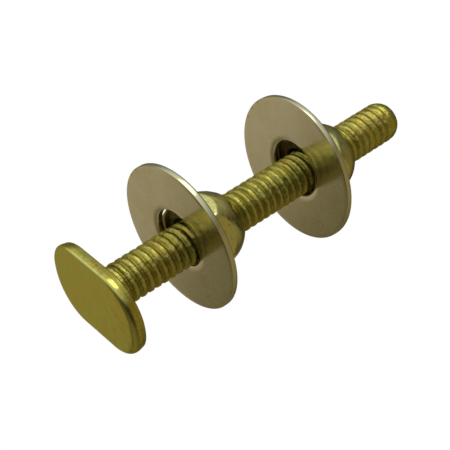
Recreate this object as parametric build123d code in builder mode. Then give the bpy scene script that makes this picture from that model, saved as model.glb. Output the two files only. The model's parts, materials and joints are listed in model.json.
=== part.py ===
from build123d import *
import os
from math import cos, floor, radians, sin, tan

os.makedirs("parts", exist_ok=True)

# Bolt, standing on its head, with the shank along +Z
shank_diameter = 6.35
overall_length = 57.15
head_length = 19.0
head_width = 13.1
head_thickness = 1.85
head_corner_radius = 6.1
head_parting_height = 0.95
head_draft = 12.0
head_face_edge_radius = 0.9
head_seat_edge_radius = 0.3
neck_fillet_radius = 0.4
tip_round_height = 1.9
tip_round_depth = 0.75

# Screw thread along the shank
thread_pitch = 1.27
thread_depth = 0.72
thread_crest_width = 0.26
thread_root_width = 0.18
thread_lead_in = 1.175
thread_runs = 4

# Washers
washer_diameter = 23.0
washer_hole_diameter = 9.0
washer_thickness = 1.0
washer_edge_radius = 0.35

# Nuts
nut_across_flats = 11.11
nut_height = 7.45
nut_thread_clearance = 0.05
nut_base_chamfer_height = 0.45
nut_base_chamfer_depth = 0.55
nut_shoulder_height = 2.95
nut_corner_bevel_height = 1.8
dome_radius = 5.75
dome_mouth_radius = 3.75
bore_countersink = 0.55
crown_countersink = 0.25

# Where the loose washers sit on the shank
lower_washer_station = 15.5
upper_washer_station = 37.6
lower_washer_shift = 1.15
upper_washer_shift = 0.97
lower_shift_heading = 230.0
upper_shift_heading = 243.0
lower_washer_lean = 1.1
upper_washer_lean = 2.9
lower_lean_heading = 160.0
upper_lean_heading = 58.0

# Turn of each nut about the shank
lower_nut_turn = 3.0
upper_nut_turn = 26.0
seat_gap = 0.03

# Allowances: how far the groove's cutter stands clear, and how closely an edge is matched
groove_overcut = 0.05
edge_match = 0.01

# Derived sizes
shank_radius = shank_diameter / 2
head_seat_inset = (head_thickness - head_parting_height) * tan(radians(head_draft))
thread_root_radius = shank_radius - thread_depth
thread_start_height = head_thickness + neck_fillet_radius + thread_lead_in
groove_half_width = (thread_pitch - thread_crest_width) / 2
thread_end_height = overall_length - tip_round_height - groove_half_width
thread_turns = floor((thread_end_height - thread_start_height) / thread_pitch)
run_height = thread_turns * thread_pitch / thread_runs
washer_radius = washer_diameter / 2
washer_hole_radius = washer_hole_diameter / 2
nut_flat_radius = nut_across_flats / 2
nut_corner_radius = nut_flat_radius / cos(radians(30))
nut_bore_radius = shank_radius + nut_thread_clearance
nut_base_radius = nut_corner_radius - nut_base_chamfer_depth
dome_centre_height = nut_height - (dome_radius**2 - dome_mouth_radius**2) ** 0.5
dome_foot_height = nut_shoulder_height + nut_corner_bevel_height
dome_foot_radius = (dome_radius**2 - (dome_foot_height - dome_centre_height) ** 2) ** 0.5
dome_mid_height = (dome_foot_height + nut_height) / 2
dome_mid_radius = (dome_radius**2 - (dome_mid_height - dome_centre_height) ** 2) ** 0.5


def leaning_plane(station, shift, shift_heading, lean, lean_heading):
    origin = (
        shift * cos(radians(shift_heading)),
        shift * sin(radians(shift_heading)),
        station,
    )
    normal = (
        sin(radians(lean)) * cos(radians(lean_heading)),
        sin(radians(lean)) * sin(radians(lean_heading)),
        cos(radians(lean)),
    )
    return Plane(origin=origin, z_dir=normal)


def nut_seat_height(station, shift, shift_heading, lean, lean_heading):
    shift_along_lean = shift * cos(radians(shift_heading - lean_heading))
    rise = tan(radians(lean)) * (nut_base_radius + shift_along_lean)
    return station + washer_thickness / cos(radians(lean)) + rise + seat_gap


lower_washer_pose = (
    lower_washer_station,
    lower_washer_shift,
    lower_shift_heading,
    lower_washer_lean,
    lower_lean_heading,
)
upper_washer_pose = (
    upper_washer_station,
    upper_washer_shift,
    upper_shift_heading,
    upper_washer_lean,
    upper_lean_heading,
)
lower_nut_height = nut_seat_height(*lower_washer_pose)
upper_nut_height = nut_seat_height(*upper_washer_pose)

# One run of the thread's helical groove, a trapezium swept up the shank
with BuildPart() as groove_run:
    with BuildLine() as groove_path:
        Helix(thread_pitch, run_height, shank_radius)
    with BuildSketch(Plane.XZ) as groove_profile:
        with BuildLine():
            Polyline(
                (shank_radius + groove_overcut, -groove_half_width),
                (thread_root_radius, -thread_root_width / 2),
                (thread_root_radius, thread_root_width / 2),
                (shank_radius + groove_overcut, groove_half_width),
                close=True,
            )
        make_face()
    sweep(path=groove_path.wires()[0], is_frenet=True)

# T-head bolt: a drafted disc with two straight sides and a threaded shank in one piece
with BuildPart() as t_bolt:
    with BuildSketch() as head_outline:
        Circle(head_length / 2)
        Rectangle(head_length, head_width, mode=Mode.INTERSECT)
        fillet(head_outline.vertices(), head_corner_radius)
    extrude(amount=head_parting_height)
    face_rim = t_bolt.faces().sort_by(Axis.Z)[0].edges()
    fillet(face_rim, head_face_edge_radius)
    with BuildSketch(Plane.XY.offset(head_parting_height)):
        add(head_outline.sketch)
    with BuildSketch(Plane.XY.offset(head_thickness)):
        add(head_outline.sketch)
        offset(amount=-head_seat_inset)
    loft()
    seat_rim = t_bolt.faces().sort_by(Axis.Z)[-1].edges()
    fillet(seat_rim, head_seat_edge_radius)
    with BuildSketch(Plane.YZ) as shank_profile:
        with BuildLine():
            shank_side = Line(
                (shank_radius, head_thickness / 2),
                (shank_radius, overall_length - tip_round_height),
            )
            TangentArc(
                shank_side @ 1,
                (shank_radius - tip_round_depth, overall_length),
                tangent=shank_side % 1,
            )
            Polyline(
                (shank_radius - tip_round_depth, overall_length),
                (0, overall_length),
                (0, head_thickness / 2),
                (shank_radius, head_thickness / 2),
            )
        make_face()
    revolve(axis=Axis.Z)
    neck_edge = (
        t_bolt.edges()
        .filter_by(GeomType.CIRCLE)
        .filter_by_position(Axis.Z, head_thickness - edge_match, head_thickness + edge_match)
        .filter_by(lambda edge: abs(edge.radius - shank_radius) < edge_match)
    )
    fillet(neck_edge, neck_fillet_radius)
    for run in range(thread_runs):
        with Locations((0, 0, thread_start_height + run * run_height)):
            add(groove_run.part, mode=Mode.SUBTRACT)

# Washer with lightly rounded edges
with BuildPart() as washer_form:
    with BuildSketch():
        Circle(washer_radius)
        Circle(washer_hole_radius, mode=Mode.SUBTRACT)
    extrude(amount=washer_thickness)
    fillet(washer_form.edges(), washer_edge_radius)

with BuildPart() as lower_washer:
    with Locations(leaning_plane(*lower_washer_pose)):
        add(washer_form.part)

with BuildPart() as upper_washer:
    with Locations(leaning_plane(*upper_washer_pose)):
        add(washer_form.part)

# Open-ended acorn nut: hexagon below, dome above, bore right through
with BuildPart() as nut_form:
    with BuildSketch():
        RegularPolygon(nut_flat_radius, 6, major_radius=False)
    extrude(amount=nut_height)
    with BuildSketch(Plane.XZ) as nut_envelope:
        with BuildLine():
            Polyline(
                (0, 0),
                (nut_base_radius, 0),
                (nut_corner_radius, nut_base_chamfer_height),
                (nut_corner_radius, nut_shoulder_height),
                (dome_foot_radius, dome_foot_height),
            )
            ThreePointArc(
                (dome_foot_radius, dome_foot_height),
                (dome_mid_radius, dome_mid_height),
                (dome_mouth_radius, nut_height),
            )
            Polyline((dome_mouth_radius, nut_height), (0, nut_height), (0, 0))
        make_face()
    revolve(axis=Axis.Z, mode=Mode.INTERSECT)
    with BuildSketch(Plane.XZ) as bore_profile:
        with BuildLine():
            Polyline(
                (0, 0),
                (nut_bore_radius + bore_countersink, 0),
                (nut_bore_radius, bore_countersink),
                (nut_bore_radius, nut_height - crown_countersink),
                (nut_bore_radius + crown_countersink, nut_height),
                (0, nut_height),
                close=True,
            )
        make_face()
    revolve(axis=Axis.Z, mode=Mode.SUBTRACT)

with BuildPart() as lower_nut:
    with Locations(Location((0, 0, lower_nut_height), (0, 0, lower_nut_turn))):
        add(nut_form.part)

with BuildPart() as upper_nut:
    with Locations(Location((0, 0, upper_nut_height), (0, 0, upper_nut_turn))):
        add(nut_form.part)

t_bolt.part.label = "t_bolt"
lower_washer.part.label = "lower_washer"
lower_nut.part.label = "lower_nut"
upper_washer.part.label = "upper_washer"
upper_nut.part.label = "upper_nut"

export_step(t_bolt.part, "parts/t_bolt.step")
export_step(lower_washer.part, "parts/lower_washer.step")
export_step(lower_nut.part, "parts/lower_nut.step")
export_step(upper_washer.part, "parts/upper_washer.step")
export_step(upper_nut.part, "parts/upper_nut.step")
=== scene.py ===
import json
import math

import bmesh
import bpy
from mathutils import Matrix, Vector, noise


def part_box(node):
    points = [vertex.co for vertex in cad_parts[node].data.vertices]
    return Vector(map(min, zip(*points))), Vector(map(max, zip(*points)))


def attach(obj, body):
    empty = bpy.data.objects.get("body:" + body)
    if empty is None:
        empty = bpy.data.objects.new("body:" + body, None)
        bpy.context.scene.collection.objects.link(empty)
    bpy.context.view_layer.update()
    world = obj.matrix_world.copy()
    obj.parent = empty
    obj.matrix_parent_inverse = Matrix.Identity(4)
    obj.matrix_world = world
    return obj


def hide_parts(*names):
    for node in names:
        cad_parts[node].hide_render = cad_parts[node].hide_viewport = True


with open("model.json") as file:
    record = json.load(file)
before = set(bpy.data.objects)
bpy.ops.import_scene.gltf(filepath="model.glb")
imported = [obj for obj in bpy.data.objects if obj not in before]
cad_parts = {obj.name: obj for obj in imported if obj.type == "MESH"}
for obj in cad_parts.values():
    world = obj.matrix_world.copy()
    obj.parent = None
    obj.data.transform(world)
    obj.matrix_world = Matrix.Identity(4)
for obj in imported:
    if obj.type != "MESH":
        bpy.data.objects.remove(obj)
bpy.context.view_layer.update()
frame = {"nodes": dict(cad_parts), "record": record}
record = frame["record"]
nodes = frame["nodes"]
MM = 0.001

# Camera, fitted to the photograph's perspective
CAMERA_PLACE = Vector((0.09917, -0.10705, -0.05203))
CAMERA_VIEW = Vector((-0.600956, 0.655528, 0.457313))
IMAGE_UP = Vector((-0.460037, -0.751563, 0.472778))
IMAGE_RIGHT = CAMERA_VIEW.cross(IMAGE_UP).normalized()
TOWARD_CAMERA = -CAMERA_VIEW
SENSOR = 36.0
LENS = 91.45

# Bolt, in millimetres
_, bolt_high = (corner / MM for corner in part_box("t_bolt"))
HEAD_RADIUS = bolt_high.x
HEAD_HALF_WIDTH = bolt_high.y
LENGTH = bolt_high.z
MOUNT_DIMS = {mount["name"]: mount["dims"] for mount in record["mounts"]}
SHANK_RADIUS = MOUNT_DIMS["threaded_end"]["r_mm"]
HEAD_THICKNESS = 1.85
HEAD_CORNER_RADIUS = 6.1
HEAD_PARTING_HEIGHT = 0.95
HEAD_DRAFT = math.tan(math.radians(12))
HEAD_CROWN_AT_ENDS = 1.05
HEAD_CROWN_AT_SIDES = 0.45
HEAD_CROWN_FLATNESS = 0.85
HEAD_SEAT_EDGE_RADIUS = 0.3
NECK_FILLET = 0.4
TIP_ROUND_HEIGHT = 1.9
TIP_ROUND_DEPTH = 0.75
TIP_ARC_RADIUS = (TIP_ROUND_HEIGHT**2 + TIP_ROUND_DEPTH**2) / (2 * TIP_ROUND_DEPTH)
TIP_ARC_TURN = math.asin(TIP_ROUND_HEIGHT / TIP_ARC_RADIUS)

# Rows of the head: rings of its face as shares of the outline, and turns of its rounded edges
BOLT_COLUMNS = 108
FACE_RING_SHARES = (0.12, 0.35, 0.6, 0.8, 0.92)
CROWN_TURNS = (0, 12, 24, 35, 45, 54, 62, 69, 75, 80, 85, 90)
SEAT_EDGE_TURNS = (90, 75, 60, 45, 30, 15, 0)
PARTING_EDGE_STEP = 0.04
SEAT_EDGE_STEP = 0.05

# Where the rows of the thread pass from one surface of the bolt to the next, in millimetres
SEAT_START = 0.2
NECK_START = 1.9
NECK_END = HEAD_THICKNESS + NECK_FILLET
TIP_START = LENGTH - TIP_ROUND_HEIGHT
TIP_END = LENGTH + 0.15
ROWS_PAST_TIP = 2.0
SEAT_RING_RADIUS = 5.3
SEAT_ROWS_RADIUS = 5.2
END_RING_RADIUS = 0.3
END_ROWS_RADIUS = 0.35

# Thread, in millimetres, with broad crests and narrower roots, worn, and shallower near both ends
PITCH = 1.27
HELIX_START = 0.25
THREAD_STEPS = 14
ROOT_NARROWING = 4.2
THREAD_SECTION = [
    (step / THREAD_STEPS, 1 - math.sin(math.pi * step / THREAD_STEPS) ** ROOT_NARROWING)
    for step in range(THREAD_STEPS)
]
THREAD_DEPTH = 0.42
THREAD_RUN_IN = (2.1, 3.1)
THREAD_RUN_OUT = (LENGTH - 3.0, LENGTH - 0.6)
HEAD_THREAD_SHARE = 0.75
HEAD_THREAD_FADE = (12.0, 24.0)
TIP_THREAD_SHARE = 0.4
TIP_THREAD_FADE = (46.0, 51.0)
WEAR_SCALE = 0.55
WEAR_IN_DEPTH = 0.45
DENT_SCALE = 1.6
DENT_SHIFT = Vector((7, 3, 5))
DENT_DEPTH = 0.06
WEAR_IN_DENTS = 0.25

# Nuts, in millimetres
NUT_ACROSS_FLATS = 11.11
NUT_FLAT_RADIUS = NUT_ACROSS_FLATS / 2
NUT_CORNER_RADIUS = NUT_FLAT_RADIUS / math.cos(math.radians(30))
NUT_HEIGHT = 7.45
NUT_BASE_CHAMFER = 0.45
NUT_BASE_CHAMFER_DEPTH = 0.55
NUT_BASE_RADIUS = NUT_CORNER_RADIUS - NUT_BASE_CHAMFER_DEPTH
NUT_SHOULDER = 2.95
NUT_DOME_FOOT = 4.75
NUT_DOME_RADIUS = 5.75
NUT_MOUTH_RADIUS = 3.75
NUT_BORE_CLEARANCE = 0.05
NUT_BORE_RADIUS = SHANK_RADIUS + NUT_BORE_CLEARANCE
NUT_COUNTERSINK = 0.55
NUT_CROWN_COUNTERSINK = 0.25
DOME_CENTRE = NUT_HEIGHT - math.sqrt(NUT_DOME_RADIUS**2 - NUT_MOUTH_RADIUS**2)

# Internal thread of the nuts, which fades out under the crown, and the height up to which the bore
# gets painted shade
NUT_THREAD_RADIUS = 3.08
NUT_THREAD_FADE = (NUT_HEIGHT - 2.6, NUT_HEIGHT - 1.6)
NUT_PAINTED_SHADE_TOP = NUT_HEIGHT - 0.6
NUT_ROWS_BELOW = PITCH * 1.6
NUT_ROWS_ABOVE = PITCH * 1.2

# Softness of the nuts' edges, as powers, and where their rings and columns lie
CORNER_SOFTNESS = 45
CREASE_SOFTNESS = 90
SECTOR_STEPS = (0, 0.8, 1.8, 3.2, 5.5, 9, 14, 20, 25, 30, 35, 40, 46, 51, 54.5, 56.8, 58.2, 59.2)
NUT_UNDERSIDE_RADIUS = 5.0
NUT_BASE_INSET = 0.03
NUT_LOWER_ROWS = [0.06, 0.16, 0.3, 0.45, 0.62, 0.95]
NUT_MIDDLE_SHARES = (0.35, 0.7)
NUT_CREASE_STEPS = (-0.5, -0.26, -0.13, -0.05, 0, 0.05, 0.13, 0.26, 0.5)
NUT_UPPER_SHARES = (0.15, 0.35, 0.6, 0.85, 1)
NUT_TOP_ROW = NUT_HEIGHT - 0.08
NUT_CROWN_RINGS = ((NUT_MOUTH_RADIUS - 0.03, NUT_HEIGHT - 0.02), (NUT_MOUTH_RADIUS - 0.09, NUT_HEIGHT))
NUT_CROWN_ROWS_RADIUS = NUT_MOUTH_RADIUS - 0.1

# Washers, in millimetres, and how each leans on the shank, in millimetres and degrees
WASHER_RADIUS = 11.5
WASHER_HOLE_RADIUS = 4.5
WASHER_THICKNESS = 1.0
WASHER_CRISP_RADIUS = 0.12
WASHER_ROLLED_RADIUS = 0.35
WASHER_COLUMNS = 144
WASHER_UNDERSIDE_SHARES = (0.15, 0.3, 0.5, 0.7, 0.9)
WASHER_TOP_SHARES = (0.85, 0.65, 0.45, 0.25)
WASHER_POSES = {
    "lower": {
        "station": 15.5,
        "shift": 1.15,
        "shift_heading": 230.0,
        "lean": 1.1,
        "lean_heading": 160.0,
    },
    "upper": {
        "station": 37.6,
        "shift": 0.97,
        "shift_heading": 243.0,
        "lean": 2.9,
        "lean_heading": 58.0,
    },
}

# Colours of the bolt, the nuts and the washers
BOLT_OLIVE = (0.345, 0.325, 0.058)
BOLT_GOLD = (0.39, 0.305, 0.048)
BOLT_PALE = (0.47, 0.45, 0.17)
# Brown for the bolt's stains, and in the thread's roots partly tarnish and partly painted shade
BOLT_STAIN_AND_SHADE = (0.20, 0.125, 0.028)
HEAD_OLIVE = (0.58, 0.585, 0.19)
HEAD_GOLD = (0.63, 0.555, 0.16)
BOLT_EDGE_TINT = (0.77, 0.76, 0.50)
NUT_GREEN = (0.50, 0.475, 0.19)
NUT_GOLD = (0.58, 0.50, 0.16)
# Dark brown for the nuts' stains, and painted shade in the bore and under the base
NUT_STAIN_AND_SHADE = (0.045, 0.035, 0.016)
NUT_EDGE_TINT = (0.80, 0.79, 0.60)
WASHER_PALE = (0.80, 0.78, 0.73)
WASHER_WARM = (0.76, 0.72, 0.64)
WASHER_RIM = (0.50, 0.46, 0.29)
WASHER_EDGE_TINT = (0.80, 0.78, 0.66)

# Floor: its half size and height in metres, and where it fades out in millimetres from the bolt
FLOOR_HALF_SIZE = 1.2
FLOOR_LEVEL = -0.0001
FLOOR_COLOUR = (0.8, 0.8, 0.79)
FLOOR_GRAIN_COLOUR = tuple(channel * 0.97 for channel in FLOOR_COLOUR)
FLOOR_FADE = (120, 600)


def image_direction(right, up, toward):
    """A direction given along the photograph's right, its up and toward the camera."""
    return IMAGE_RIGHT * right + IMAGE_UP * up + TOWARD_CAMERA * toward


# Lights: a room light is a colour and its directions, with the cosines where it starts and is full
WHITE = (1.0, 1.0, 1.0)
PLAIN_LEVEL = (0.75, 0.75, 0.75)
ROOM_DARK = (0.04, 0.036, 0.032)
UPPER_LEFT = image_direction(-0.30, 0.78, 0.55)
ABOVE = image_direction(0.27, 1.0, 0)
BEHIND = image_direction(-0.69, -0.43, -0.58)
RIGHT = image_direction(0.85, -0.30, 0.10)
BELOW = image_direction(0.0, -0.95, -0.30)
ROOM_LIGHTS = {
    "window": ((0.86, 0.91, 0.94), [(UPPER_LEFT, 0.2, 0.9)]),
    "ceiling": ((0.22, 0.235, 0.24), [(IMAGE_UP, 0.1, 1.0)]),
    "warm wall": ((0.26, 0.225, 0.15), [(BEHIND, 0.0, 0.9), (ABOVE, -0.63, -0.565)]),
    "olive wall": ((0.09, 0.073, 0.008), [(BEHIND, 0.2, 1.0)]),
    "golden wall": ((0.33, 0.28, 0.13), [(RIGHT, 0.3, 1.0)]),
    "brown floor": ((0.13, 0.105, 0.06), [(BELOW, 0.6, 0.98)]),
}
OBJECT_MIDDLE = Vector((0, 0, 0.028))
LAMP_DIRECTION = image_direction(0.08, 1.0, 0.35)
LAMP_DISTANCE = 0.5
LAMP_SIZE = 0.28
LAMP_RADIANCE = 2.0


def smooth(low, high, value):
    share = min(1.0, max(0.0, (value - low) / (high - low)))
    return share * share * (3 - 2 * share)


def mix(first, second, share):
    return first + (second - first) * share


class Skin:
    """A closed surface made of rows of points round the Z axis, in millimetres."""

    def __init__(self, angles):
        self.angles = angles
        self.points = []
        self.faces = []
        self.grooves = []

    def add(self, x, y, height, groove=0.0):
        self.points.append((x, y, height))
        self.grooves.append(groove)
        return len(self.points) - 1

    def add_polar(self, radius, angle, height, groove=0.0):
        return self.add(radius * math.cos(angle), radius * math.sin(angle), height, groove)

    def circle(self, radius, height, groove=0.0):
        return [self.add_polar(radius, angle, height, groove) for angle in self.angles]

    def bridge(self, first, second):
        count = len(first)
        for k in range(count):
            after = (k + 1) % count
            self.faces.append((first[k], first[after], second[after], second[k]))

    def cap(self, ring, height):
        centre = self.add(0, 0, height)
        for k, corner in enumerate(ring):
            self.faces.append((corner, ring[(k + 1) % len(ring)], centre))

    def helix(self, start, turns, place):
        """Rows that climb one pitch in each turn; place gives radius, height and groove."""
        steps = len(THREAD_SECTION)
        rows = []
        for index in range(turns * steps + 1):
            turn, step = divmod(index, steps)
            share, crest = THREAD_SECTION[step]
            row_start = start + (turn + share) * PITCH
            row = []
            for angle in self.angles:
                climb = PITCH * angle / math.tau
                radius, height, groove = place(row_start + climb, crest, angle)
                row.append(self.add_polar(radius, angle, height, groove))
            rows.append(row)
        last = len(self.angles) - 1
        for lower, upper in zip(rows, rows[1:]):
            for k in range(last):
                self.faces.append((lower[k], lower[k + 1], upper[k + 1], upper[k]))
        for index in range(len(rows) - steps - 1):
            above, beyond = rows[index + steps], rows[index + steps + 1]
            lower, upper = rows[index], rows[index + 1]
            self.faces.append((lower[last], above[0], beyond[0], upper[last]))
        return rows

    def close_helix(self, rows, ring_below, ring_above):
        """Joins the slanting ends of a helix to a flat ring below and one above."""
        steps = len(THREAD_SECTION)
        last = len(self.angles) - 1
        for k in range(last):
            below = (ring_below[k], ring_below[k + 1])
            above = (ring_above[k], ring_above[k + 1])
            self.faces.append((*below, rows[0][k + 1], rows[0][k]))
            self.faces.append((rows[-1][k], rows[-1][k + 1], *reversed(above)))
        first_side = [rows[index][0] for index in range(steps + 1)]
        self.faces.append((ring_below[last], ring_below[0], *first_side, rows[0][last]))
        last_side = [rows[index][last] for index in range(-steps - 1, 0)]
        self.faces.append((ring_above[last], ring_above[0], rows[-1][0], *last_side))

    def build(self, name):
        mesh = bpy.data.meshes.new(name)
        mesh.from_pydata([Vector(point) * MM for point in self.points], [], self.faces)
        shape = bmesh.new()
        shape.from_mesh(mesh)
        bmesh.ops.recalc_face_normals(shape, faces=shape.faces)
        shape.to_mesh(mesh)
        shape.free()
        mesh.polygons.foreach_set("use_smooth", [True] * len(mesh.polygons))
        groove = mesh.attributes.new("groove", "FLOAT", "POINT")
        groove.data.foreach_set("value", self.grooves)
        piece = bpy.data.objects.new(name, mesh)
        bpy.context.scene.collection.objects.link(piece)
        return piece


# T-head bolt
def head_outline(angle):
    """Radius of the T head's outline at a polar angle, and its outward normal."""
    x, y = abs(math.cos(angle)), abs(math.sin(angle))
    turn = math.atan2(y, x)
    corner_y = HEAD_HALF_WIDTH - HEAD_CORNER_RADIUS
    corner_x = math.sqrt((HEAD_RADIUS - HEAD_CORNER_RADIUS) ** 2 - corner_y**2)
    if turn < math.atan2(corner_y, corner_x):
        radius, normal = HEAD_RADIUS, (x, y)
    elif turn > math.atan2(HEAD_HALF_WIDTH, corner_x):
        radius, normal = HEAD_HALF_WIDTH / y, (0.0, 1.0)
    else:
        along = x * corner_x + y * corner_y
        reach = HEAD_CORNER_RADIUS**2 + along**2 - corner_x**2 - corner_y**2
        radius = along + math.sqrt(reach)
        normal = (
            (radius * x - corner_x) / HEAD_CORNER_RADIUS,
            (radius * y - corner_y) / HEAD_CORNER_RADIUS,
        )
    sign_x = 1 if math.cos(angle) >= 0 else -1
    sign_y = 1 if math.sin(angle) >= 0 else -1
    return radius, (sign_x * normal[0], sign_y * normal[1])


def head_point(skin, angle, inset, height, share=1.0):
    """Adds a point of the head's outline, moved in by inset and drawn to the axis by share."""
    radius, normal = head_outline(angle)
    x = (radius * math.cos(angle) - normal[0] * inset) * share
    y = (radius * math.sin(angle) - normal[1] * inset) * share
    return skin.add(x, y, height)


def head_ring(skin, inset, height):
    return [head_point(skin, angle, inset, height) for angle in skin.angles]


def crown_ring(skin, turn, share=1.0):
    """A ring of the head's rounded face edge, broad at its ends and narrow on its sides."""
    ring = []
    for angle in skin.angles:
        _, normal = head_outline(angle)
        size = mix(HEAD_CROWN_AT_ENDS, HEAD_CROWN_AT_SIDES, normal[1] ** 2)
        inset = size * (1 - math.sin(turn))
        height = size * HEAD_CROWN_FLATNESS * (1 - math.cos(turn))
        ring.append(head_point(skin, angle, inset, height, share))
    return ring


def draft_inset(height):
    return (height - HEAD_PARTING_HEIGHT) * HEAD_DRAFT


def head_rings(skin):
    """Rings from the middle of the head's face, over its edge and up to its seat."""
    rings = [crown_ring(skin, 0.0, share) for share in FACE_RING_SHARES]
    rings += [crown_ring(skin, math.radians(turn)) for turn in CROWN_TURNS]
    rings.append(head_ring(skin, 0.0, HEAD_PARTING_HEIGHT))
    edge_start = HEAD_THICKNESS - HEAD_SEAT_EDGE_RADIUS
    for height in (HEAD_PARTING_HEIGHT + PARTING_EDGE_STEP, edge_start - SEAT_EDGE_STEP):
        rings.append(head_ring(skin, draft_inset(height), height))
    for turn in SEAT_EDGE_TURNS:
        drop = HEAD_SEAT_EDGE_RADIUS * (1 - math.cos(math.radians(turn)))
        inset = HEAD_SEAT_EDGE_RADIUS * (1 - math.sin(math.radians(turn)))
        rings.append(head_ring(skin, inset + draft_inset(edge_start), HEAD_THICKNESS - drop))
    rings.append(skin.circle(SEAT_RING_RADIUS, HEAD_THICKNESS))
    return rings


def bolt_meridian(position):
    """Radius and height along the head's seat, the neck, the shank, the tip and its end."""
    if position < NECK_START:
        share = (position - SEAT_START) / (NECK_START - SEAT_START)
        return mix(SEAT_ROWS_RADIUS, SHANK_RADIUS + NECK_FILLET, share), HEAD_THICKNESS
    if position < NECK_END:
        turn = (position - NECK_START) / (NECK_END - NECK_START) * math.pi / 2
        radius = SHANK_RADIUS + NECK_FILLET * (1 - math.sin(turn))
        return radius, HEAD_THICKNESS + NECK_FILLET * (1 - math.cos(turn))
    if position < TIP_START:
        return SHANK_RADIUS, position
    if position < TIP_END:
        turn = (position - TIP_START) / (TIP_END - TIP_START) * TIP_ARC_TURN
        radius = SHANK_RADIUS - TIP_ARC_RADIUS * (1 - math.cos(turn))
        return radius, TIP_START + TIP_ARC_RADIUS * math.sin(turn)
    end_radius = SHANK_RADIUS - TIP_ROUND_DEPTH
    return max(END_ROWS_RADIUS, end_radius - (position - TIP_END)), LENGTH


def bolt_thread(position, crest, angle):
    """A worn thread: its depth and its crests vary a little along and round the shank."""
    radius, height = bolt_meridian(position)
    place = Vector((radius * math.cos(angle), radius * math.sin(angle), height))
    wear = noise.noise(place * WEAR_SCALE)
    dents = noise.noise(place * DENT_SCALE + DENT_SHIFT)
    present = smooth(*THREAD_RUN_IN, position) * (1 - smooth(*THREAD_RUN_OUT, position))
    depth = THREAD_DEPTH * (1 + WEAR_IN_DEPTH * wear) * present
    depth *= mix(HEAD_THREAD_SHARE, 1.0, smooth(*HEAD_THREAD_FADE, position))
    depth *= mix(1.0, TIP_THREAD_SHARE, smooth(*TIP_THREAD_FADE, position))
    groove = (1 - crest) * present
    worn_off = DENT_DEPTH * max(0.0, dents + WEAR_IN_DENTS * wear) * crest * present
    return radius - depth * (1 - crest) - worn_off, height, groove


def make_bolt():
    skin = Skin([math.tau * k / BOLT_COLUMNS for k in range(BOLT_COLUMNS)])
    rings = head_rings(skin)
    for first, second in zip(rings, rings[1:]):
        skin.bridge(first, second)
    skin.cap(rings[0], 0.0)
    turns = math.floor((LENGTH + ROWS_PAST_TIP - HELIX_START) / PITCH) - 1
    rows = skin.helix(HELIX_START, turns, bolt_thread)
    end_ring = skin.circle(END_RING_RADIUS, LENGTH)
    skin.close_helix(rows, rings[-1], end_ring)
    skin.cap(end_ring, LENGTH)
    return skin.build("threaded_bolt")


# Open-ended acorn nuts
def hex_radius(angle, corner_angle):
    total = 0.0
    for side in range(6):
        facing = math.cos(angle - corner_angle - math.radians(30 + 60 * side))
        total += max(0.0, facing) ** CORNER_SOFTNESS
    return NUT_FLAT_RADIUS / total ** (1 / CORNER_SOFTNESS)


def nut_envelope(height):
    """Radius of the round form that cuts the hexagon's corners, at a height up the nut."""
    if height < NUT_BASE_CHAMFER:
        return mix(NUT_BASE_RADIUS, NUT_CORNER_RADIUS, height / NUT_BASE_CHAMFER)
    if height < NUT_SHOULDER:
        return NUT_CORNER_RADIUS
    foot = math.sqrt(NUT_DOME_RADIUS**2 - (NUT_DOME_FOOT - DOME_CENTRE) ** 2)
    if height < NUT_DOME_FOOT:
        share = (height - NUT_SHOULDER) / (NUT_DOME_FOOT - NUT_SHOULDER)
        return mix(NUT_CORNER_RADIUS, foot, share)
    return math.sqrt(NUT_DOME_RADIUS**2 - (height - DOME_CENTRE) ** 2)


def nut_crease(flat_radius):
    """Height at which the dome or its foot meets a side that far from the axis."""
    foot = nut_envelope(NUT_DOME_FOOT)
    if flat_radius > foot:
        share = (NUT_CORNER_RADIUS - flat_radius) / (NUT_CORNER_RADIUS - foot)
        return mix(NUT_SHOULDER, NUT_DOME_FOOT, max(0.0, share))
    return DOME_CENTRE + math.sqrt(NUT_DOME_RADIUS**2 - flat_radius**2)


def nut_side(angle, corner_angle, height):
    side, envelope = hex_radius(angle, corner_angle), nut_envelope(height)
    return (side**-CREASE_SOFTNESS + envelope**-CREASE_SOFTNESS) ** (-1 / CREASE_SOFTNESS)


def nut_heights(angle, corner_angle):
    """Heights of the rows up the outside, gathered at the curved crease of each side."""
    crease = nut_crease(hex_radius(angle, corner_angle))
    around = [crease + step for step in NUT_CREASE_STEPS]
    middle = [mix(NUT_LOWER_ROWS[-1], around[0], share) for share in NUT_MIDDLE_SHARES]
    upper = [mix(around[-1], NUT_TOP_ROW, share) for share in NUT_UPPER_SHARES]
    return NUT_LOWER_ROWS + middle + around + upper


def nut_rings(skin, base, corner_angle):
    """Rings from the underside, over the base's edge and up the outside to the crown."""
    base_edge = []
    for angle in skin.angles:
        radius = min(hex_radius(angle, corner_angle), NUT_BASE_RADIUS) - NUT_BASE_INSET
        base_edge.append(skin.add_polar(radius, angle, base))
    # The ring under the base is marked for painted shade
    rings = [skin.circle(NUT_UNDERSIDE_RADIUS, base, groove=1.0), base_edge]
    columns = [nut_heights(angle, corner_angle) for angle in skin.angles]
    for heights in zip(*columns):
        ring = []
        for angle, height in zip(skin.angles, heights):
            radius = nut_side(angle, corner_angle, height)
            ring.append(skin.add_polar(radius, angle, base + height))
        rings.append(ring)
    for radius, height in NUT_CROWN_RINGS:
        rings.append(skin.circle(radius, base + height))
    return rings


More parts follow.
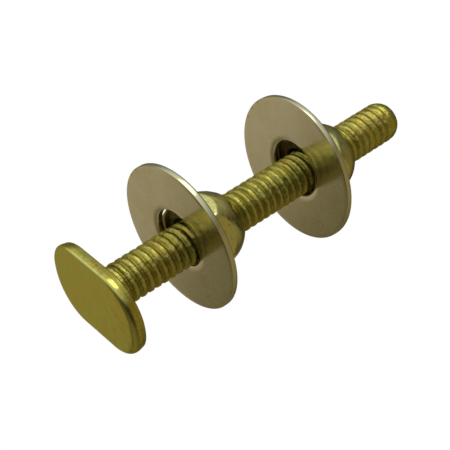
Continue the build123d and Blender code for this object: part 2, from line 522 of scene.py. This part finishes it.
def nut_meridian(height):
    """Radius and height from the base, up the bore and out on the crown."""
    bore_foot = NUT_BORE_RADIUS + NUT_COUNTERSINK
    bore_mouth = NUT_BORE_RADIUS + NUT_CROWN_COUNTERSINK
    if height < 0:
        share = height / (height - PITCH)
        return mix(bore_foot, NUT_UNDERSIDE_RADIUS, share), 0.0
    if height < NUT_COUNTERSINK:
        return bore_foot - height, height
    if height < NUT_HEIGHT - NUT_CROWN_COUNTERSINK:
        return NUT_BORE_RADIUS, height
    if height < NUT_HEIGHT:
        return bore_mouth - (NUT_HEIGHT - height), height
    share = (height - NUT_HEIGHT) / (height - NUT_HEIGHT + PITCH)
    return mix(bore_mouth, NUT_CROWN_ROWS_RADIUS, share), NUT_HEIGHT


def nut_thread(height, crest):
    """Radius, height and the painted-shade mark up the bore, whose thread fades out under the crown.
    """
    radius, height = nut_meridian(height)
    if 0 < height < NUT_HEIGHT and radius <= NUT_BORE_RADIUS:
        depth = NUT_BORE_RADIUS - NUT_THREAD_RADIUS
        depth *= 1 - smooth(*NUT_THREAD_FADE, height)
        radius = NUT_BORE_RADIUS - depth * (1 - crest)
    # The bore below the crown is marked for painted shade
    return radius, height, 1.0 if height < NUT_PAINTED_SHADE_TOP else 0.0


def make_nut(node, name):
    """A nut set and turned as its solid is, with its thread in step with the bolt's."""
    low, _ = (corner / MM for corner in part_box(node))
    base = low.z
    reach = [(v.co.xy.length, math.atan2(v.co.y, v.co.x)) for v in nodes[node].data.vertices]
    corner_angle = max(reach)[1] % math.radians(60)
    angles = []
    for sector in range(6):
        angles += [corner_angle + math.radians(60 * sector + step) for step in SECTOR_STEPS]
    skin = Skin(angles)
    rings = nut_rings(skin, base, corner_angle)
    for first, second in zip(rings, rings[1:]):
        skin.bridge(first, second)

    def place(position, crest, angle):
        radius, height, groove = nut_thread(position - base, crest)
        return radius, base + height, groove

    start = base - NUT_ROWS_BELOW
    phase = (start - HELIX_START) / PITCH
    start -= (phase - math.floor(phase)) * PITCH
    turns = math.ceil((base + NUT_HEIGHT + NUT_ROWS_ABOVE - start) / PITCH)
    rows = skin.helix(start, turns, place)
    skin.close_helix(rows, rings[0], rings[-1])
    return skin.build(name)


# Punched washers
def arc_points(centre, radius, start, end, steps=5):
    turns = [math.radians(start + (end - start) * k / steps) for k in range(steps + 1)]
    return [(centre[0] + radius * math.cos(t), centre[1] + radius * math.sin(t)) for t in turns]


def washer_section():
    """Radius and height round the section: the rim is crisp below, the hole is crisp on top."""
    crisp, rolled = WASHER_CRISP_RADIUS, WASHER_ROLLED_RADIUS
    outer, hole, top = WASHER_RADIUS, WASHER_HOLE_RADIUS, WASHER_THICKNESS
    section = [(hole + share * (outer - hole), 0.0) for share in WASHER_UNDERSIDE_SHARES]
    section += arc_points((outer - crisp, crisp), crisp, -90, 0)
    section += arc_points((outer - rolled, top - rolled), rolled, 0, 90)
    section += [(hole + share * (outer - hole), top) for share in WASHER_TOP_SHARES]
    section += arc_points((hole + crisp, top - crisp), crisp, 90, 180)
    section += arc_points((hole + rolled, rolled), rolled, 180, 270)
    return section


def make_washer(name, station, shift, shift_heading, lean, lean_heading):
    """A washer set to one side of the shank and leaning, with its rim marked for its material."""
    skin = Skin([math.tau * k / WASHER_COLUMNS for k in range(WASHER_COLUMNS)])
    rings = [skin.circle(radius, height) for radius, height in washer_section()]
    rim = WASHER_RADIUS - WASHER_CRISP_RADIUS
    skin.grooves = [1.0 if math.hypot(x, y) > rim else 0.0 for x, y, _ in skin.points]
    for first, second in zip(rings, rings[1:] + rings[:1]):
        skin.bridge(first, second)
    heading = math.radians(lean_heading)
    axis = Vector((-math.sin(heading), math.cos(heading), 0))
    tilt = Matrix.Rotation(math.radians(lean), 3, axis)
    heading = math.radians(shift_heading)
    centre = Vector((shift * math.cos(heading), shift * math.sin(heading), station))
    skin.points = [tuple(tilt @ Vector(point) + centre) for point in skin.points]
    return skin.build(name)


# Shader nodes
def new_material(name):
    material = bpy.data.materials.new(name)
    material.use_nodes = True
    tree = material.node_tree
    tree.nodes.clear()
    output = tree.nodes.new("ShaderNodeOutputMaterial")
    shader = tree.nodes.new("ShaderNodeBsdfPrincipled")
    tree.links.new(shader.outputs["BSDF"], output.inputs["Surface"])
    return material, tree, shader


def new_metal(name, edge_tint):
    material, tree, shader = new_material(name)
    shader.inputs["Metallic"].default_value = 1.0
    shader.inputs["Specular Tint"].default_value = (*edge_tint, 1)
    return material, tree, shader


def math_node(tree, operation, first, second):
    node = tree.nodes.new("ShaderNodeMath")
    node.operation = operation
    for socket, value in zip(node.inputs, (first, second)):
        if isinstance(value, (int, float)):
            socket.default_value = value
        else:
            tree.links.new(value, socket)
    return node.outputs[0]


def range_node(tree, value, low, high, to_low=0.0, to_high=1.0):
    """Takes a value from low to high smoothly to the range from to_low to to_high."""
    node = tree.nodes.new("ShaderNodeMapRange")
    node.interpolation_type = "SMOOTHSTEP"
    tree.links.new(value, node.inputs["Value"])
    node.inputs["From Min"].default_value = low
    node.inputs["From Max"].default_value = high
    node.inputs["To Min"].default_value = to_low
    node.inputs["To Max"].default_value = to_high
    return node.outputs["Result"]


def mix_values(tree, share, first, second):
    node = tree.nodes.new("ShaderNodeMix")
    tree.links.new(share, node.inputs["Factor"])
    tree.links.new(first, node.inputs["A"])
    tree.links.new(second, node.inputs["B"])
    return node.outputs["Result"]


def mix_colours(tree, share, first, second):
    node = tree.nodes.new("ShaderNodeMix")
    node.data_type = "RGBA"
    tree.links.new(share, node.inputs["Factor"])
    inputs = [s for s in node.inputs if s.type == "RGBA"]
    for socket, value in zip(inputs, (first, second)):
        if isinstance(value, tuple):
            socket.default_value = (*value, 1)
        else:
            tree.links.new(value, socket)
    return [s for s in node.outputs if s.type == "RGBA"][0]


def millimetres(tree, stretch=(1, 1, 1), turn=(0, 0, 0)):
    """The piece's own coordinates, in millimetres, stretched along some axes."""
    place = tree.nodes.new("ShaderNodeTexCoord")
    mapping = tree.nodes.new("ShaderNodeMapping")
    mapping.inputs["Rotation"].default_value = [math.radians(angle) for angle in turn]
    mapping.inputs["Scale"].default_value = [share / MM for share in stretch]
    tree.links.new(place.outputs["Object"], mapping.inputs["Vector"])
    return mapping.outputs["Vector"]


def noise_node(tree, coordinates, scale, detail, roughness=0.55):
    node = tree.nodes.new("ShaderNodeTexNoise")
    tree.links.new(coordinates, node.inputs["Vector"])
    node.inputs["Scale"].default_value = scale
    node.inputs["Detail"].default_value = detail
    node.inputs["Roughness"].default_value = roughness
    return node.outputs["Fac"]


def bump(tree, height, depth, strength, normal=None):
    """Bumps of a depth in millimetres, on top of the bumps of another normal."""
    node = tree.nodes.new("ShaderNodeBump")
    tree.links.new(height, node.inputs["Height"])
    node.inputs["Distance"].default_value = depth * MM
    node.inputs["Strength"].default_value = strength
    if normal is not None:
        tree.links.new(normal, node.inputs["Normal"])
    return node.outputs["Normal"]


def height_up(tree, coordinates):
    parts = tree.nodes.new("ShaderNodeSeparateXYZ")
    tree.links.new(coordinates, parts.inputs["Vector"])
    return parts.outputs["Z"]


def groove_share(tree):
    groove = tree.nodes.new("ShaderNodeAttribute")
    groove.attribute_name = "groove"
    return groove.outputs["Fac"]


# Materials
def bolt_material():
    """Worn yellow plate: brown clouds, an olive tint, scratches, and a rougher thread."""
    material, tree, shader = new_metal("bolt_brass", BOLT_EDGE_TINT)
    plain = millimetres(tree)
    brushed = millimetres(tree, stretch=(0.07, 2.4, 1.0), turn=(0, 0, 38))
    height = height_up(tree, plain)
    on_shank = range_node(tree, height, low=1.9, high=2.5)
    off_face = range_node(tree, height, low=0.0, high=0.6)
    clouds = noise_node(tree, plain, scale=0.30, detail=4)
    face_clouds = noise_node(tree, plain, scale=0.24, detail=2)
    mottles = noise_node(tree, plain, scale=0.85, detail=4)
    specks = noise_node(tree, plain, scale=2.2, detail=3)
    flakes = noise_node(tree, plain, scale=1.1, detail=3, roughness=0.5)
    swells = noise_node(tree, plain, scale=0.30, detail=1)
    scratches = noise_node(tree, brushed, scale=1.2, detail=3)

    face_share = range_node(tree, face_clouds, low=0.32, high=0.68)
    face_tone = mix_colours(tree, face_share, HEAD_OLIVE, HEAD_GOLD)
    tone = mix_colours(tree, range_node(tree, clouds, low=0.36, high=0.64), BOLT_OLIVE, BOLT_GOLD)
    pale_share = range_node(tree, specks, low=0.46, high=0.68, to_high=0.6)
    tone = mix_colours(tree, pale_share, tone, BOLT_PALE)
    tone = mix_colours(tree, off_face, face_tone, tone)
    stain = range_node(tree, mottles, low=0.50, high=0.74, to_high=0.42)
    stain = math_node(tree, "MULTIPLY", stain, off_face)
    # Brown in the thread's roots: partly tarnish, partly painted shade
    groove_tarnish_and_shade = range_node(tree, groove_share(tree), low=0.45, high=0.95, to_high=0.5)
    tone = mix_colours(tree, math_node(tree, "MAXIMUM", stain, groove_tarnish_and_shade), tone, BOLT_STAIN_AND_SHADE)
    tree.links.new(tone, shader.inputs["Base Color"])

    head_rough = range_node(tree, mottles, low=0.3, high=0.7, to_low=0.13, to_high=0.24)
    thread_rough = range_node(tree, specks, low=0.3, high=0.7, to_low=0.28, to_high=0.46)
    rough = mix_values(tree, on_shank, head_rough, thread_rough)
    tree.links.new(rough, shader.inputs["Roughness"])

    shank_flakes = math_node(tree, "MULTIPLY", flakes, on_shank)
    normal = bump(tree, shank_flakes, depth=0.26, strength=0.8)
    normal = bump(tree, scratches, depth=0.008, strength=0.06, normal=normal)
    normal = bump(tree, swells, depth=0.14, strength=0.5, normal=normal)
    tree.links.new(normal, shader.inputs["Normal"])
    return material


def nut_material():
    """Bright plate with a green tint, with painted shade in the bore and under the base."""
    material, tree, shader = new_metal("nut_brass", NUT_EDGE_TINT)
    plain = millimetres(tree)
    clouds = noise_node(tree, plain, scale=0.40, detail=4)
    mottles = noise_node(tree, plain, scale=1.1, detail=4)
    tone = mix_colours(tree, range_node(tree, clouds, low=0.36, high=0.64), NUT_GREEN, NUT_GOLD)
    stain = range_node(tree, mottles, low=0.52, high=0.78, to_high=0.5)
    # Painted shade: the bore and the underside are darkened to near black
    painted_shade = math_node(tree, "MULTIPLY", groove_share(tree), 0.95)
    tone = mix_colours(tree, math_node(tree, "MAXIMUM", stain, painted_shade), tone, NUT_STAIN_AND_SHADE)
    tree.links.new(tone, shader.inputs["Base Color"])
    rough = range_node(tree, mottles, low=0.3, high=0.7, to_low=0.10, to_high=0.26)
    tree.links.new(rough, shader.inputs["Roughness"])
    normal = bump(tree, clouds, depth=0.25, strength=0.5)
    normal = bump(tree, mottles, depth=0.06, strength=0.4, normal=normal)
    tree.links.new(normal, shader.inputs["Normal"])
    return material


def washer_material():
    """Polished plate with a soft warm tint, faint clouds, fine wear and a browner rim."""
    material, tree, shader = new_metal("washer_metal", WASHER_EDGE_TINT)
    plain = millimetres(tree)
    clouds = noise_node(tree, plain, scale=0.22, detail=3)
    specks = noise_node(tree, plain, scale=3.0, detail=2)
    cloud_share = range_node(tree, clouds, low=0.36, high=0.66)
    tone = mix_colours(tree, cloud_share, WASHER_PALE, WASHER_WARM)
    tone = mix_colours(tree, groove_share(tree), tone, WASHER_RIM)
    tree.links.new(tone, shader.inputs["Base Color"])
    rough = range_node(tree, specks, low=0.3, high=0.7, to_low=0.13, to_high=0.20)
    tree.links.new(rough, shader.inputs["Roughness"])
    normal = bump(tree, clouds, depth=0.05, strength=0.2)
    normal = bump(tree, specks, depth=0.01, strength=0.15, normal=normal)
    tree.links.new(normal, shader.inputs["Normal"])
    return material


def floor_material():
    """Pale paper, seen from above only, which fades into the white far away."""
    material, tree, shader = new_material("floor_paper")
    plain = millimetres(tree)
    grain = noise_node(tree, plain, scale=0.3, detail=2)
    tone = mix_colours(tree, grain, FLOOR_COLOUR, FLOOR_GRAIN_COLOUR)
    tree.links.new(tone, shader.inputs["Base Color"])
    shader.inputs["Roughness"].default_value = 0.9
    distance = tree.nodes.new("ShaderNodeVectorMath")
    distance.operation = "LENGTH"
    tree.links.new(plain, distance.inputs[0])
    far = range_node(tree, distance.outputs["Value"], *FLOOR_FADE)
    side = tree.nodes.new("ShaderNodeNewGeometry")
    unseen = math_node(tree, "MAXIMUM", side.outputs["Backfacing"], far)
    clear = tree.nodes.new("ShaderNodeBsdfTransparent")
    choice = tree.nodes.new("ShaderNodeMixShader")
    tree.links.new(unseen, choice.inputs["Fac"])
    tree.links.new(shader.outputs["BSDF"], choice.inputs[1])
    tree.links.new(clear.outputs["BSDF"], choice.inputs[2])
    output = next(node for node in tree.nodes if node.type == "OUTPUT_MATERIAL")
    tree.links.new(choice.outputs["Shader"], output.inputs["Surface"])
    return material


def cover(piece, material):
    piece.data.materials.clear()
    piece.data.materials.append(material)


# Pieces
bolt_brass = bolt_material()
nut_brass = nut_material()
washer_metal = washer_material()

bolt = make_bolt()
cover(bolt, bolt_brass)
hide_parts("t_bolt")
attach(bolt, "bolt")

for which in ("lower", "upper"):
    nut = make_nut(f"{which}_nut", f"{which}_acorn_nut")
    cover(nut, nut_brass)
    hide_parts(f"{which}_nut")
    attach(nut, f"{which}_nut_body")
    washer = make_washer(f"{which}_punched_washer", **WASHER_POSES[which])
    cover(washer, washer_metal)
    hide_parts(f"{which}_washer")
    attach(washer, f"{which}_washer_body")


# Floor, which is seen from above only, because the photograph's camera is below it
def make_floor():
    mesh = bpy.data.meshes.new("floor")
    half, level = FLOOR_HALF_SIZE, FLOOR_LEVEL
    corners = [(x, y, level) for x, y in ((-half, -half), (half, -half), (half, half), (-half, half))]
    mesh.from_pydata(corners, [], [(0, 1, 2, 3)])
    floor = bpy.data.objects.new("floor", mesh)
    bpy.context.scene.collection.objects.link(floor)
    cover(floor, floor_material())
    floor.visible_glossy = False
    floor.visible_diffuse = False
    floor.visible_shadow = False
    return floor


# World: white to the camera, plain to matt surfaces, and a studio room in reflections
def facing_share(tree, place, direction, low, high):
    facing = tree.nodes.new("ShaderNodeVectorMath")
    facing.operation = "DOT_PRODUCT"
    tree.links.new(place, facing.inputs[0])
    facing.inputs[1].default_value = direction.normalized()
    return range_node(tree, facing.outputs["Value"], low, high)


def add_light(tree, share, colour, room):
    """Adds a share of a colour to the room's light so far."""
    node = tree.nodes.new("ShaderNodeVectorMath")
    node.operation = "MULTIPLY_ADD"
    tree.links.new(share, node.inputs[0])
    node.inputs[1].default_value = colour
    if isinstance(room, tuple):
        node.inputs[2].default_value = room
    else:
        tree.links.new(room, node.inputs[2])
    return node.outputs[0]


def make_world():
    world = bpy.data.worlds.new("studio")
    bpy.context.scene.world = world
    world.use_nodes = True
    tree = world.node_tree
    tree.nodes.clear()
    output = tree.nodes.new("ShaderNodeOutputWorld")
    background = tree.nodes.new("ShaderNodeBackground")
    place = tree.nodes.new("ShaderNodeTexCoord").outputs["Generated"]
    room = ROOM_DARK
    for colour, facings in ROOM_LIGHTS.values():
        share = facing_share(tree, place, *facings[0])
        for facing in facings[1:]:
            share = math_node(tree, "MULTIPLY", share, facing_share(tree, place, *facing))
        room = add_light(tree, share, colour, room)
    path = tree.nodes.new("ShaderNodeLightPath")
    glossy, transmitted = path.outputs["Is Glossy Ray"], path.outputs["Is Transmission Ray"]
    mirrored = math_node(tree, "MAXIMUM", glossy, transmitted)
    around = mix_colours(tree, mirrored, PLAIN_LEVEL, room)
    colour = mix_colours(tree, path.outputs["Is Camera Ray"], around, WHITE)
    tree.links.new(colour, background.inputs["Color"])
    background.inputs["Strength"].default_value = 1.0
    tree.links.new(background.outputs["Background"], output.inputs["Surface"])


def make_lamp(name):
    """A soft round lamp that faces the object, with its radiance where white is 1."""
    data = bpy.data.lights.new(name, "AREA")
    data.shape = "DISK"
    data.size = LAMP_SIZE
    data.energy = LAMP_RADIANCE * math.pi * math.pi * (LAMP_SIZE / 2) ** 2
    lamp = bpy.data.objects.new(name, data)
    aim = LAMP_DIRECTION.normalized()
    lamp.location = OBJECT_MIDDLE + aim * LAMP_DISTANCE
    lamp.rotation_mode = "QUATERNION"
    lamp.rotation_quaternion = aim.to_track_quat("Z", "Y")
    bpy.context.scene.collection.objects.link(lamp)


def make_camera():
    data = bpy.data.cameras.new("camera")
    data.lens = LENS
    data.sensor_width = SENSOR
    data.clip_start = 0.01
    data.clip_end = 10
    camera = bpy.data.objects.new("camera", data)
    facing = Matrix((IMAGE_RIGHT, IMAGE_UP, TOWARD_CAMERA)).transposed()
    camera.matrix_world = Matrix.Translation(CAMERA_PLACE) @ facing.to_4x4()
    bpy.context.scene.collection.objects.link(camera)
    return camera


make_floor()
make_world()
make_lamp("key")
bpy.context.scene.camera = make_camera()
bpy.context.scene.view_settings.view_transform = "Standard"
